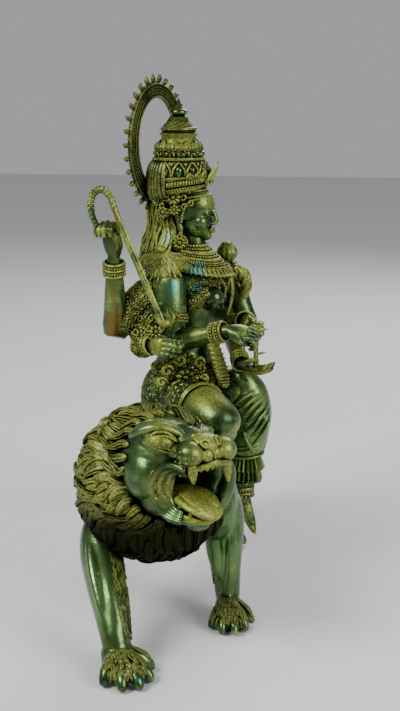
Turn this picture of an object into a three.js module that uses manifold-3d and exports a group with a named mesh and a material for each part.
// A bronze group: a six-armed goddess seated sideways on a striding, roaring lion,
// with a flame-edged halo ring fastened behind her crown.
// Millimetres, +Z up. The lion faces -Y and the goddess faces +X, the lion's left side.
import * as THREE from 'three';
import { mergeVertices } from 'three/addons/utils/BufferGeometryUtils.js';
import Module from 'manifold-3d';

const wasm = await Module();
wasm.setup();

// Driving dimensions
const crownTipHeight = 543;
const castingGap = 0.3;
const haloWidth = 118;
const haloHeight = 146;
const haloBand = 25;
const haloThickness = 5;
const haloLeafCount = 30;
const haloSetBack = 29;
const lugWidth = 11;
const lugHeight = 15;
const bladeLength = 118;
const bladeWidth = 6.5;
const bladeThickness = 3.4;
const curlThickness = 6;
const staffLength = 38;
const staffDiameter = 5.4;

// The pose, proportions and carving are shares of the figure's own height:
// coordinates are written for a crown tip at 543 and stretched by this share.
const share = crownTipHeight / 543;
// The middle of the footprint, seen from the lion's own middle plane
const footprintX = 10.85 * share;
const footprintY = 99.7 * share;

const up = new THREE.Vector3(0, 0, 1);
const degree = Math.PI / 180;

function at(x, y, z) {
  return new THREE.Vector3(x, y, z).multiplyScalar(share);
}

// A closed three.js geometry becomes a solid that can be joined and cut.
function solid(geometry) {
  geometry.deleteAttribute('normal');
  geometry.deleteAttribute('uv');
  const merged = mergeVertices(geometry, 1e-4);
  const vertProperties = new Float32Array(merged.attributes.position.array);
  const triVerts = new Uint32Array(merged.index.array);
  return new wasm.Manifold(new wasm.Mesh({ numProp: 3, vertProperties, triVerts }));
}

function join(solids) {
  let list = solids.flat(Infinity);
  while (list.length > 1) {
    const next = [];
    for (let i = 0; i < list.length; i += 2) {
      next.push(i + 1 < list.length ? list[i].add(list[i + 1]) : list[i]);
    }
    list = next;
  }
  return list[0];
}

function mesh(name, body, material) {
  const { vertProperties, triVerts } = body.getMesh();
  const geometry = new THREE.BufferGeometry();
  geometry.setAttribute('position', new THREE.BufferAttribute(new Float32Array(vertProperties), 3));
  geometry.setIndex(new THREE.BufferAttribute(new Uint32Array(triVerts), 1));
  geometry.computeVertexNormals();
  const result = new THREE.Mesh(geometry, material);
  result.name = name;
  return result;
}

// A limb: a tapering body along a smooth course. Each station gives a point and the half width
// and half height of the section there, the height along the reference direction.
// Flutes are the share by which every second corner of the section is drawn in.
function limb(stations, choices = {}) {
  const { sides = 8, steps = stations.length - 1, reference = up, grow = 0, flutes = 0 } = choices;
  const course = new THREE.CatmullRomCurve3(stations.map(([x, y, z]) => at(x, y, z)));
  const girths = stations.map(([, , , width, height = width]) => new THREE.Vector3(width, height, 0));
  const girth = new THREE.CatmullRomCurve3(girths.map((g) => g.multiplyScalar(share).addScalar(grow)));
  girth.curveType = 'catmullrom';
  const geometry = new THREE.CylinderGeometry(1, 1, 1, sides, steps);
  const places = geometry.attributes.position;
  for (let i = 0; i < places.count; i += 1) {
    const t = THREE.MathUtils.clamp(places.getY(i) + 0.5, 0, 1);
    const along = course.getTangent(t);
    const across = new THREE.Vector3().crossVectors(along, reference).normalize();
    const over = new THREE.Vector3().crossVectors(across, along);
    const corner = Math.round((Math.atan2(places.getX(i), places.getZ(i)) / (2 * Math.PI)) * sides);
    const drawnIn = corner % 2 === 0 ? 1 : 1 - flutes;
    const size = girth.getPoint(t).multiplyScalar(drawnIn);
    const point = course.getPoint(t);
    point.addScaledVector(across, places.getX(i) * size.x);
    point.addScaledVector(over, places.getZ(i) * size.y);
    places.setXYZ(i, point.x, point.y, point.z);
  }
  return solid(geometry);
}

// A rounded mass with its own half sizes, turned about the vertical and tipped forward
function mass([x, y, z], [halfX, halfY, halfZ], { turn = 0, tip = 0, wide = 10, high = 7, grow = 0 } = {}) {
  const geometry = new THREE.SphereGeometry(1, wide, high);
  geometry.rotateX(90 * degree);
  geometry.scale(halfX * share + grow, halfY * share + grow, halfZ * share + grow);
  geometry.rotateY(tip * degree);
  geometry.rotateZ(turn * degree);
  const centre = at(x, y, z);
  geometry.translate(centre.x, centre.y, centre.z);
  return solid(geometry);
}

// A frame of its own for a head, torso or hand: forward, left and up from an origin
function frame(origin, forward, upward = up) {
  const ahead = new THREE.Vector3(...forward).normalize();
  const left = new THREE.Vector3().crossVectors(upward, ahead).normalize();
  const high = new THREE.Vector3().crossVectors(ahead, left);
  const start = new THREE.Vector3(...origin);
  const place = (a, b, c) =>
    start.clone().addScaledVector(ahead, a).addScaledVector(left, b).addScaledVector(high, c).toArray();
  return { place, ahead, left, high, turn: Math.atan2(ahead.y, ahead.x) / degree };
}

function placed(own, stations) {
  return stations.map(([a, b, c, ...sizes]) => [...own.place(a, b, c), ...sizes]);
}

// The lion

const lionHead = frame([2, -38, 190], [0.766, -0.643, 0]);
const skullCentre = lionHead.place(10, 0, 14);
const skullSizes = [42, 41, 42];
const maneCentre = [-5, -12, 167];
const maneSizes = [72, 54, 75];
const cheekMiddle = lionHead.place(40, 0, 0);
const maneFrame = frame(maneCentre, cheekMiddle.map((value, axis) => value - maneCentre[axis]));

// How far along a way from the mane's centre the skull's surface lies; 0 where the way misses it
function reachToSkull(way) {
  const sizes = new THREE.Vector3(...skullSizes);
  const turned = (vector) => vector.clone().applyAxisAngle(up, -lionHead.turn * degree).divide(sizes);
  const direction = turned(way);
  const offset = turned(new THREE.Vector3(...maneCentre).sub(new THREE.Vector3(...skullCentre)));
  const a = direction.lengthSq();
  const b = direction.dot(offset);
  const root = b * b - a * (offset.lengthSq() - 1);
  return root > 0 ? (Math.sqrt(root) - b) / a : 0;
}

// The mane is one rounded mass round the skull, with tiers of pointed locks that lie back from the face.
// Each tier rises from the skin to its tips and drops behind them to the next tier.
function mane() {
  const locksRound = 14;
  const columns = locksRound * 2;
  const tiers = [0.84, 1.18, 1.55, 1.96];
  const rows = [
    { crest: 0, valley: 0, lift: -20, sunk: -20 },
    { crest: 0.76, valley: 0.76, lift: -4, sunk: -4 },
  ];
  tiers.forEach((start, tier) => {
    rows.push({ tier, crest: start, valley: start - 0.05, lift: 1, sunk: 0 });
    rows.push({ tier, crest: start + 0.2, valley: start + 0.16, lift: 7, sunk: 0.5 });
    rows.push({ tier, crest: start + 0.36, valley: start + 0.25, lift: 8, sunk: 1 });
  });
  rows.push({ crest: 2.56, valley: 2.56, lift: 0, sunk: 0 });
  rows.push({ crest: Math.PI, valley: Math.PI, lift: 0, sunk: 0 });
  const geometry = new THREE.SphereGeometry(1, columns, rows.length - 1);
  const places = geometry.attributes.position;
  const sizes = new THREE.Vector3(...maneSizes);
  for (let i = 0; i < places.count; i += 1) {
    const row = rows[Math.floor(i / (columns + 1))];
    const column = i % (columns + 1);
    const isCrest = (column + (row.tier ?? 0)) % 2 === 0;
    const polar = isCrest ? row.crest : row.valley;
    const lift = isCrest ? row.lift : row.sunk;
    const round = (column / columns) * Math.PI * 2;
    const way = maneFrame.ahead.clone().multiplyScalar(Math.cos(polar))
      .addScaledVector(maneFrame.left, Math.sin(polar) * Math.cos(round))
      .addScaledVector(maneFrame.high, Math.sin(polar) * Math.sin(round));
    const far = Math.max(1 / way.clone().divide(sizes).length(), reachToSkull(way));
    const outward = way.clone().divide(sizes).divide(sizes).normalize();
    const point = new THREE.Vector3(...maneCentre).addScaledVector(way, far).addScaledVector(outward, lift);
    places.setXYZ(i, point.x * share, point.y * share, point.z * share);
  }
  return solid(geometry);
}

// The body, shoulders, skull and ears, grown by a clearance where the rider needs room
function lionTrunk(grow = 0) {
  return join([
    limb([[0, 10, 160, 50, 50], [0, 55, 160, 55, 55], [0, 100, 158, 49, 50], [0, 145, 158, 45, 49],
      [0, 195, 160, 41, 45], [0, 238, 161, 45, 49], [0, 278, 162, 42, 46], [0, 304, 165, 26, 30],
      [0, 314, 168, 8, 10]], { sides: 12, grow }),
    mass([-50, 22, 128], [26, 34, 42], { wide: 7, high: 5, grow }),
    mass([50, 42, 130], [26, 32, 44], { wide: 8, high: 6, grow }),
    mass([-34, 258, 132], [25, 40, 46], { wide: 7, high: 5, grow }),
    mass([34, 246, 132], [25, 40, 46], { wide: 7, high: 5, grow }),
    mass(skullCentre, skullSizes, { turn: lionHead.turn, wide: 10, high: 7, grow }),
    [[-48, -28, 226], [12, 4, 232]].map((ear) => mass(ear, [6, 11, 13],
      { turn: lionHead.turn, wide: 6, high: 4, grow })),
  ]);
}

// A paw is a broad pad, flat below, with long toes that spread from its wrist like fingers.
// Each toe has its turn from the paw's own direction and its reach.
function paw([x, y], turn, size, toes) {
  const own = frame([x, y, 0], [Math.cos(turn * degree), Math.sin(turn * degree), 0]);
  const sized = (rows) => placed(own, rows.map((row) => row.map((value) => value * size)));
  return [
    limb(sized([[-16, 0, 8, 13, 12], [2, 0, 11, 18, 17], [20, 0, 8, 19, 14], [31, 0, 4, 14, 9]]),
      { sides: 7 }),
    toes.map(([toeTurn, reach]) => {
      const [ahead, side] = [Math.cos(toeTurn * degree) * reach, Math.sin(toeTurn * degree) * reach];
      return limb(sized([[ahead * 0.4, side * 0.4, 17, 5.5, 7], [ahead * 0.76, side * 0.76, 9, 7, 9.5],
        [ahead, side, 2, 3.5, 4.5]]), { sides: 4 });
    }),
  ];
}

function lionLegs() {
  const foreToes = [[62, 35], [27, 43], [4, 48], [-17, 46], [-46, 36]];
  const hindToes = [[30, 36], [0, 40], [-30, 36]];
  const foreRight = limb([[-58, 10, 124, 24, 26], [-58, -20, 99, 22, 24], [-46, -51, 73, 20, 21],
    [-36, -72, 52, 17.5, 18], [-28, -90, 28, 14.5, 16], [-26, -94, 14, 14, 13]],
  { sides: 9, reference: at(0, -1, 1) });
  const foreLeft = limb([[58, 45, 140, 22, 26], [61, 53, 100, 20, 23], [62, 49, 68, 17, 19],
    [64, 44, 38, 14, 16], [66, 37, 14, 14, 13]], { sides: 9, reference: at(0, -1, 0) });
  const hind = (side, stride) => limb([[side * 36, 256 + stride * 0.4, 150, 22, 32],
    [side * 42, 246 + stride * 0.6, 110, 20, 27], [side * 42, 266 + stride * 0.8, 78, 14, 17],
    [side * 40, 286 + stride, 50, 11, 13], [side * 40, 276 + stride, 20, 13, 13]],
  { sides: 8, reference: at(0, -1, 0) });
  return [
    foreRight, foreLeft, hind(-1, 8), hind(1, -18),
    paw([-27, -92], -55, 1, foreToes), paw([66, 34], -76, 0.82, foreToes),
    paw([-40, 284], -90, 0.74, hindToes), paw([40, 258], -90, 0.74, hindToes),
  ];
}

function lionFace() {
  const own = lionHead;
  const both = (make) => [make(-1), make(1)];
  // the far side's brow and eye lie lower than the near side's
  const sag = (side) => (side > 0 ? 16 : 0);
  const rounded = (a, b, c, sizes, detail) => mass(own.place(a, b, c), sizes, { turn: own.turn, ...detail });
  const outside = join([
    both((side) => rounded(17, side * 28, 5, [25, 17, 25], { wide: 8, high: 6 })),
    both((side) => rounded(30, side * 23, -18, [22, 12, 15], { wide: 7, high: 5 })),
    limb(placed(own, [[20, 0, 38, 28, 17], [58, 0, 41, 20, 13], [73, 1, 43, 17, 11], [81, 2, 41, 11, 7]]),
      { sides: 8 }),
    [[69, -16, 35], [74, 20, 33]].map((puff) => rounded(...puff, [15, 14, 13], { wide: 7, high: 5 })),
    limb(placed(own, [[8, 0, -14, 32, 22], [38, 0, -24, 27, 16], [62, 0, -33, 21, 11], [76, 0, -32, 12, 6]]),
      { sides: 8 }),
    both((side) => limb(placed(own, [[54, side * 11, 50 - sag(side) * 0.6, 5, 4],
      [44, side * 21, 58 - sag(side), 6, 5], [25, side * 38, 55 - sag(side), 6, 5],
      [16, side * 42, 47 - sag(side), 5, 3]]), { sides: 4 })),
  ]);
  const mouth = limb(placed(own, [[20, 0, -3, 14, 8], [44, 0, -1, 21, 17], [66, 0, -3, 23, 21],
    [104, 0, -5, 27, 24]]), { sides: 8 });
  const eyes = [
    limb(placed(own, [[36, -41, 45, 2, 2], [45, -31, 45, 8, 8.5], [53, -19, 40, 3, 3]]),
      { sides: 6, reference: own.ahead }),
    limb(placed(own, [[33, 38, 29, 4, 4], [43, 28, 30, 9, 9.5], [51, 17, 28, 5, 5]]),
      { sides: 6, reference: own.ahead }),
  ];
  const nearCorner = [18, 25].map((reach) => {
    const arc = [62, 115, 170, 225, 282].map((turn) => [62 + Math.cos(turn * degree) * reach,
      -(22 + reach * 0.5 - Math.abs(turn - 170) * 0.06),
      -3 + Math.sin(turn * degree) * (8 + reach * 0.78)]);
    return limb(placed(own, arc.map((place) => [...place, 3.4, 3.4])), { sides: 4, reference: own.left });
  });
  const farCorner = limb(placed(own, [[74, 25, 24, 6, 6], [69, 30, 8, 7, 9], [64, 31, -8, 7, 10],
    [57, 29, -22, 7, 9], [50, 24, -33, 6, 7]]), { sides: 6, reference: own.left });
  const tooth = (a, b, c, drop, size) => limb(placed(own, [[a, b, c, size, size],
    [a + 2, b, c + drop, size * 0.25, size * 0.25]]), { sides: 4, reference: own.ahead });
  const teeth = [
    tooth(74, -18, 27, -16, 5.4),
    tooth(76, 25, 25, -14, 5.4),
    both((side) => tooth(68, side * 14, -29, 11, 4)),
    [-7, 7].map((b) => tooth(76, b, 30, -13, 3.6)),
    [-5, 5].map((b) => tooth(70, b, -31, 12, 3.2)),
  ];
  const tongue = limb(placed(own, [[16, 0, -14, 13, 7], [44, 0, -13, 17, 7], [66, 0, -18, 13, 5.5],
    [75, 0, -25, 6, 3]]), { sides: 6 });
  return { outside, mouth, inside: join([eyes, nearCorner, farCorner, teeth, tongue]) };
}

function lionTail() {
  return [
    limb([[0, 296, 178, 9, 9], [2, 320, 168, 7.5, 7.5], [5, 331, 140, 6.5, 6.5], [2, 329, 100, 6, 6],
      [-4, 324, 78, 8, 8], [-12, 328, 60, 9, 9], [-14, 336, 44, 2, 2]],
    { sides: 6, reference: at(1, 0, 0) }),
  ];
}

// The goddess

const torso = frame([3, 136, 0], [0.927, -0.375, 0]);
const head = frame([12, 137, 419], [0.978, -0.208, 0]);
const crownAxis = [-1, 137];

// The trunk from the seat to the neck, with the girdle round the hips and the broad collar
function trunk() {
  const stations = [[3, 136, 205, 42, 53], [3, 136, 228, 41, 51], [6, 136, 244, 35, 43],
    [6, 136, 247, 39, 47],
    [7, 136, 255, 37, 44], [8, 136, 258, 31, 38], [12, 137, 276, 24, 30], [17, 137, 298, 27, 35],
    [21, 138, 322, 30, 42], [24, 138, 343, 30, 46], [23, 138, 355, 31, 46], [21, 135, 361, 37, 41],
    [18, 133, 376, 25, 27], [16, 131, 389, 14, 14], [15, 135, 402, 13.5, 13.5]];
  return [
    limb(stations, { sides: 12, reference: torso.left }),
    [[40, -14, 334], [34, 18, 331]].map((place) => mass(torso.place(...place), [15, 15, 15],
      { turn: torso.turn, wide: 6, high: 5 })),
  ];
}

// The right leg is folded on the lion's back, the left one hangs down its side.
function legs() {
  const thighRight = limb([[6, 100, 226, 26, 24], [26, 72, 228, 26, 24], [46, 48, 224, 24, 23],
    [60, 35, 215, 21, 21], [67, 27, 208, 11, 12]], { sides: 8 });
  const shinRight = limb([[58, 38, 206, 13, 13], [58, 62, 203, 14, 12], [56, 100, 208, 8, 8],
    [48, 126, 212, 7, 4]], { sides: 6 });
  const thighLeft = limb([[8, 168, 222, 26, 25], [36, 159, 226, 26, 25], [62, 147, 222, 25, 24],
    [76, 141, 212, 20, 22]], { sides: 8 });
  const skirt = limb([[70, 143, 234, 16, 14], [73, 143, 222, 23, 22], [76, 144, 200, 25, 23],
    [75, 145, 172, 21.5, 20.5], [74, 146, 154, 17, 17], [74, 147, 137, 20, 20], [74, 147, 134, 17, 17],
    [71.5, 147.5, 124, 20, 19], [71, 147.5, 121, 16, 15]],
  { sides: 16, reference: at(0, -1, 0), flutes: 0.14 });
  const foot = limb([[70, 147, 128, 9, 9], [69, 147, 120, 12.5, 12], [69, 147, 108, 12, 11.5],
    [70, 145, 101, 9, 8.5], [74, 142, 86, 8, 6.5], [80, 138.5, 72, 6, 4.4], [84, 136.5, 61, 3.4, 2.6]],
  { sides: 7, reference: at(0, -1, 0) });
  const heel = limb([[58, 151, 112, 4, 4], [68, 148, 107, 8, 7]], { sides: 5 });
  return [thighRight, shinRight, thighLeft, skirt, foot, heel];
}

// A level ring, such as a bangle, with its own half sizes and cord thickness
function ringAround([x, y, z], [halfX, halfY], thick, { turn = 0, along = [0, 0, 1], around = 10 } = {}) {
  const geometry = new THREE.TorusGeometry(1, 0.25, 4, around);
  const places = geometry.attributes.position;
  for (let i = 0; i < places.count; i += 1) {
    const radius = Math.hypot(places.getX(i), places.getY(i));
    const swell = ((radius - 1) / 0.25) * thick * 0.5;
    places.setXYZ(i, (places.getX(i) / radius) * (halfX + swell) * share,
      (places.getY(i) / radius) * (halfY + swell) * share, (places.getZ(i) / 0.25) * thick * 0.5 * share);
  }
  geometry.rotateZ(turn * degree);
  const axis = new THREE.Vector3(...along).normalize();
  geometry.applyQuaternion(new THREE.Quaternion().setFromUnitVectors(up, axis));
  const centre = at(x, y, z);
  geometry.translate(centre.x, centre.y, centre.z);
  return solid(geometry);
}

// An arm with its hand: shoulder, armlet, elbow, bangle, palm and fingers along one bending course.
// The hand points along its own forward direction and its fingers curl towards the palm.
function arm(shoulder, elbow, wrist, [girthShoulder, girthElbow, girthWrist], hand) {
  const { forward, palm, curl, size = 1, thumb = 1, sides = 6 } = hand;
  const between = (from, to, part) => from.map((value, axis) => value + (to[axis] - value) * part);
  const own = frame(wrist, forward, new THREE.Vector3(...palm).negate());
  const swing = curl * 75 * degree;
  const knuckle = [19 + Math.cos(swing) * 6.5, 0, -Math.sin(swing) * 6.5];
  const tip = [knuckle[0] + Math.cos(swing * 2.1) * 7.8, 0, knuckle[2] - Math.sin(swing * 2.1) * 7.8];
  const bangle = girthWrist * 1.5;
  const armlet = girthShoulder * 1.25;
  const palmAndFingers = [[9, 0, 0, 5, 9.4], [19, 0, 0, 4, 9.8], [...knuckle, 3.6, 9.4], [...tip, 2.4, 7]];
  const thumbRoot = [3, thumb * 6, -1, 4.4, 4.4];
  const thumbTip = [17, thumb * 8, -9, 2.6, 2.6];
  const sized = (stations) => placed(own, stations.map((station) => station.map((value) => value * size)));
  return [
    limb([[...shoulder, girthShoulder], [...between(shoulder, elbow, 0.38), armlet],
      [...between(shoulder, elbow, 0.7), girthShoulder * 0.86], [...elbow, girthElbow],
      [...between(elbow, wrist, 0.6), girthWrist], [...between(elbow, wrist, 0.79), bangle],
      [...wrist, girthWrist * 0.8],
      ...sized(palmAndFingers)], { sides, reference: own.left }),
    limb(sized([thumbRoot, thumbTip]), { sides: 4, reference: own.left }),
  ];
}

function arms() {
  return [
    arm([-12, 102, 352], [-60, 80, 303], [-57, 61, 388], [17, 14, 9],
      { forward: [-0.1, -0.05, 1], palm: [-0.35, -0.9, 0], curl: 0.95, size: 1.3, sides: 7 }),
    arm([26, 172, 352], [-36, 226, 304], [-30, 213, 384], [13, 12, 8.5],
      { forward: [0, -0.05, 1], palm: [0.8, -0.6, 0], curl: 0.25, size: 1.2, thumb: -1, sides: 5 }),
    arm([-5, 92, 357], [0, 78, 292], [65, 52, 312], [18.5, 12.5, 8],
      { forward: [0.93, -0.1, -0.1], palm: [0, 0.5, -0.8], curl: 0.5, size: 1.1, thumb: -1, sides: 7 }),
    arm([2, 108, 350], [-35, 84, 287], [-20, 66, 291], [15, 12.5, 9],
      { forward: [0.75, -0.62, 0.05], palm: [0.5, 0.75, -0.2], curl: 0.7, size: 1.15 }),
    arm([47, 180, 354], [71, 168, 298], [72, 124, 308], [14, 11.5, 8],
      { forward: [0.3, -0.93, -0.1], palm: [0.85, 0.25, -0.3], curl: 0.8, size: 1.1, thumb: -1 }),
    arm([44, 184, 344], [57, 164, 274], [70, 116, 261], [13, 10.5, 7.5],
      { forward: [0.8, -0.6, -0.05], palm: [0, 0, 1], curl: 0.22, size: 1.2 }),
    [[3, 100, 350], [45, 181, 352]].map((place) => mass(place, [17, 17, 17], { wide: 6, high: 4 })),
  ];
}

function headOfGoddess() {
  const own = head;
  const both = (make) => [make(-1), make(1)];
  return [
    mass(own.place(2, 0, 4), [27, 23, 32], { turn: own.turn, wide: 10, high: 7 }),
    limb(placed(own, [[22, 0, 14, 3, 3], [30, 0, -3, 4.4, 4], [23, 0, -7, 4, 3]]),
      { sides: 5, reference: own.left }),
    mass(own.place(25, 0, -13), [4, 7.5, 2.8], { turn: own.turn, wide: 6, high: 4 }),
    both((side) => mass(own.place(22, side * 9.5, 4), [5, 6, 3],
      { turn: own.turn + side * 20, wide: 6, high: 4 })),
    both((side) => [
      mass(own.place(-3, side * 22, -6), [6, 6, 14], { turn: own.turn, wide: 6, high: 4 }),
      mass(own.place(-15, side * 23, 18), [16, 10, 11], { turn: own.turn, wide: 6, high: 4 }),
    ]),
  ];
}

// The tiered crown, its two rows of leaves standing out from the bulb and the upper drum
function crown() {
  const leafPairs = 7;
  const columns = leafPairs * 2;
  const profile = [[0, 441, 0], [31, 443, 0], [32.5, 457, 0], [31, 462, 1], [30.5, 471, 2], [27.5, 479, 0],
    [26, 485, 1.5], [23.5, 492, 2], [19, 500, 0], [20, 510, 0], [10.5, 521, 0], [6.2, 524, 0],
    [9.4, 528, 0], [3.2, 534, 0], [0, 543, 0]];
  const outline = profile.map(([r, z]) => new THREE.Vector2(r * share, z * share));
  const geometry = new THREE.LatheGeometry(outline, columns);
  const places = geometry.attributes.position;
  for (let i = 0; i < places.count; i += 1) {
    const column = Math.floor(i / profile.length);
    const [radius, height, leaf] = profile[i % profile.length];
    const stand = radius + (column % 2 === 0 ? leaf * 0.6 : -leaf * 0.6);
    const angle = (column / columns) * Math.PI * 2;
    const x = Math.sin(angle) * stand;
    const y = -Math.cos(angle) * stand;
    // the lowest band rises towards the brow
    const rise = 0.17 * Math.min(Math.max((468 - height) / 16, 0), 1);
    const lift = rise * (x * head.ahead.x + y * head.ahead.y);
    places.setXYZ(i, x * share, (height + lift) * share, -y * share);
  }
  geometry.rotateX(90 * degree);
  geometry.translate(crownAxis[0] * share, crownAxis[1] * share, 0);
  const spike = limb(placed(head, [[15, 0, 33, 9, 6], [22, 0, 40, 8, 4.5], [27, 0, 47, 5, 3.5],
    [30, 0, 53, 2.6, 2.2], [31.5, 0, 58.5, 0.9, 0.9]]), { sides: 5, reference: head.ahead });
  return [solid(geometry), spike];
}

// Long hair spreads like a bell from the nape over both shoulders and the back, in pointed strands.
function hair() {
  return [
    limb([[-12, 146, 446, 19, 20], [-12, 146, 408, 21, 22], [-12, 146, 393, 24, 28],
      [-10, 146, 379, 29, 38], [-5, 144, 367, 38, 49], [-5, 144, 361, 33, 43]],
    { sides: 16, reference: torso.left, flutes: 0.13 }),
    limb([[-13, 99, 389, 5, 5], [-12, 95, 376, 14, 18], [-10, 91, 366, 19, 27]],
      { sides: 6, reference: torso.left }),
    mass([47, 173, 375], [11.5, 11.5, 11.5], { wide: 8, high: 6 }),
    mass([3, 116, 392], [7, 8, 8], { wide: 6, high: 4 }),
    limb([[2, 121, 410, 4, 4], [3, 117, 398, 5, 5]], { sides: 5 }),
  ];
}

// Sash, rosettes and loops of the girdle, and its ribbed knot
function ornaments() {
  const boss = (place, size) => mass(place, [size, size, size], { wide: 5, high: 4 });
  const sash = limb([[34, 118, 292, 8, 4], [41, 113, 274, 9, 5], [48, 107, 257, 8, 5],
    [54, 101, 245, 6, 4]], { sides: 6, reference: at(1, -0.6, 0.5) });
  const knot = limb([[46, 120, 262, 5, 5], [53, 113, 251, 9, 8], [60, 106, 242, 5, 5]], { sides: 6 });
  const bosses = [[-4, 100, 266, 8], [15, 102, 268, 9], [14, 87, 252, 10], [29, 80, 250, 8]]
    .map(([x, y, z, size]) => boss([x, y, z], size));
  const loop = ringAround([20, 80, 243], [11, 11], 5, { along: [0.5, -0.7, 0.5], around: 8 });
  return [sash, knot, bosses, loop];
}

// The weapon: its tip rests on the armlet and its far end curls over into the fist.
function blade() {
  const top = new THREE.Vector3(-48, 43, 424);
  const way = new THREE.Vector3(46, -10, -100).normalize();
  const point = (part) => top.clone().addScaledVector(way, (bladeLength / share) * part).toArray();
  const edge = new THREE.Vector3(0, -1, 0);
  const across = bladeWidth / 2 / share;
  const deep = bladeThickness / 2 / share;
  const curl = curlThickness / 2 / share;
  return [
    limb([[...point(-0.02), across, deep], [...point(0.5), across, deep],
      [...point(0.93), across * 0.9, deep], [...point(1), across * 0.4, deep]],
    { sides: 4, reference: edge }),
    limb([[-45, 43, 418], [-51, 44, 432], [-57, 46, 447], [-66, 47, 455], [-75, 49, 449], [-78, 52, 434],
      [-74, 55, 418], [-62, 58, 404]].map((place) => [...place, curl]),
    { sides: 6, steps: 9, reference: edge }),
    limb([[2, 36, 318, 8, 5], [-4, 46, 325, 11, 8], [-12, 62, 330, 12, 9], [-14, 80, 330, 9, 7]],
      { sides: 6 }),
  ];
}

// The short staff stands on the low open palm and passes through the other two hands.
function staff() {
  const [x, y, z] = [87, 100, 262];
  const radius = staffDiameter / 2 / share;
  const long = (staffLength + 8) / share;
  const prong = (part) => limb([[x, y, z + long * part, 2], [x + 9, y - 2, z + long * part + 2, 1.2]],
    { sides: 4 });
  return [
    limb([[x, y, z, radius * 1.6], [x, y, z + long * 0.15, radius], [x, y - 1, z + long * 0.5, radius],
      [x, y - 1, z + long * 0.6, radius * 1.7], [x, y - 1, z + long * 0.75, radius * 1.7],
      [x, y - 1, z + long * 0.8, radius], [x, y - 1, z + long, radius]],
    { sides: 6, reference: at(0, -1, 0) }),
    [0.4, 0.85].map(prong),
  ];
}

function goddess() {
  return join([trunk(), legs(), arms(), headOfGoddess(), crown(), hair(), ornaments(), blade(), staff()]);
}

// The halo is a flat upright ring with two raised rims and a row of leaves round its edge.
function haloRing() {
  const columns = Math.round(haloLeafCount) * 2;
  const leafLong = haloBand * 0.34;
  const half = haloThickness / 2;
  const middle = haloBand - leafLong;
  // The section from the hole outwards: how far from the hole, and how thick there; the back is flat
  const outline = [[0, half], [middle * 0.5, half * 0.3], [middle, half],
    [haloBand, half * 0.3], [haloBand, -half], [0, -half], [0, half]];
  const geometry = new THREE.LatheGeometry(outline.map(([r, t]) => new THREE.Vector2(r + 1, t)), columns);
  const places = geometry.attributes.position;
  for (let i = 0; i < places.count; i += 1) {
    const column = Math.floor(i / outline.length);
    const [from, thick] = outline[i % outline.length];
    const notch = from > middle && column % 2 === 1 ? leafLong * 0.8 : 0;
    const angle = -(column / columns) * Math.PI * 2;
    const wide = haloWidth / 2 - haloBand + from - notch;
    const tall = haloHeight / 2 - haloBand + from - notch;
    places.setXYZ(i, Math.cos(angle) * wide, Math.sin(angle) * tall, thick);
  }
  const ring = solid(geometry);
  // The lug runs forward from the ring's foot into the back of the hair.
  return ring.add(lug(0));
}

function lug(grow) {
  const long = haloSetBack * 0.62;
  const bar = new THREE.BoxGeometry(lugWidth + grow * 2, lugHeight + grow * 2, long + grow * 2);
  bar.translate(0, -haloHeight / 2 + haloBand * 0.6, long / 2 - haloThickness * 0.3);
  return solid(bar);
}

// The room that the ring and its lug need in the hair: a plain band, clear of them all round
function haloRoom() {
  const half = haloThickness / 2 + castingGap;
  const inner = -haloBand - castingGap;
  const outline = [[inner, half], [castingGap, half], [castingGap, -half], [inner, -half], [inner, half]];
  const columns = Math.round(haloLeafCount);
  const section = outline.map(([r, t]) => new THREE.Vector2(r + haloBand + 1, t));
  const geometry = new THREE.LatheGeometry(section, columns);
  const places = geometry.attributes.position;
  const reach = 1 / Math.cos(Math.PI / columns);
  for (let i = 0; i < places.count; i += 1) {
    const angle = -(Math.floor(i / outline.length) / columns) * Math.PI * 2;
    const [from, thick] = outline[i % outline.length];
    const spread = from > 0 ? reach : 1;
    places.setXYZ(i, Math.cos(angle) * (haloWidth / 2 + from) * spread,
      Math.sin(angle) * (haloHeight / 2 + from) * spread, thick);
  }
  return solid(geometry).add(lug(castingGap));
}

// The ring stands behind the crown, its lowest point at the nape.
const haloFrame = frame([0, 0, 0], [0.904, -0.427, 0]);
const haloFoot = 421 * share;
const haloPlace = new THREE.Matrix4().makeBasis(haloFrame.left, haloFrame.high, haloFrame.ahead);
haloPlace.setPosition(
  crownAxis[0] * share - haloFrame.ahead.x * haloSetBack,
  crownAxis[1] * share - haloFrame.ahead.y * haloSetBack,
  haloFoot + haloHeight / 2,
);

const halo = haloRing().transform(haloPlace.elements);
const nape = haloRoom().transform(haloPlace.elements);

const floor = solid(new THREE.BoxGeometry(900, 900, 200).translate(0, 0, -100));
// The rider is cut clear of the locks' tips all round, as well as of the body.
const tipClearance = 11 * share + castingGap;
const seat = join([
  lionTrunk(castingGap),
  mass(maneCentre, maneSizes, { wide: 16, high: 10, grow: tipClearance }),
  mass(skullCentre, skullSizes, { turn: lionHead.turn, wide: 14, high: 8, grow: tipClearance }),
]);
const rider = goddess().subtract(seat).subtract(nape);
const face = lionFace();
const beast = join([lionTrunk(), mane(), lionLegs(), face.outside, lionTail()])
  .subtract(face.mouth)
  .add(face.inside)
  .subtract(floor);

const bronzeGreen = new THREE.MeshStandardMaterial({ color: 0x2f4a2c, roughness: 0.38, metalness: 0.85 });
const bronzeOchre = new THREE.MeshStandardMaterial({ color: 0x6b6524, roughness: 0.5, metalness: 0.8 });
const bronzeDark = new THREE.MeshStandardMaterial({ color: 0x2c2a1c, roughness: 0.5, metalness: 0.8 });

const figure = new THREE.Group();
figure.add(mesh('lion', beast, bronzeGreen));
figure.add(mesh('durga_figure', rider, bronzeOchre));
figure.add(mesh('halo', halo, bronzeDark));
figure.position.set(-footprintX, -footprintY, 0);

const group = new THREE.Group();
group.add(figure);

export default group;
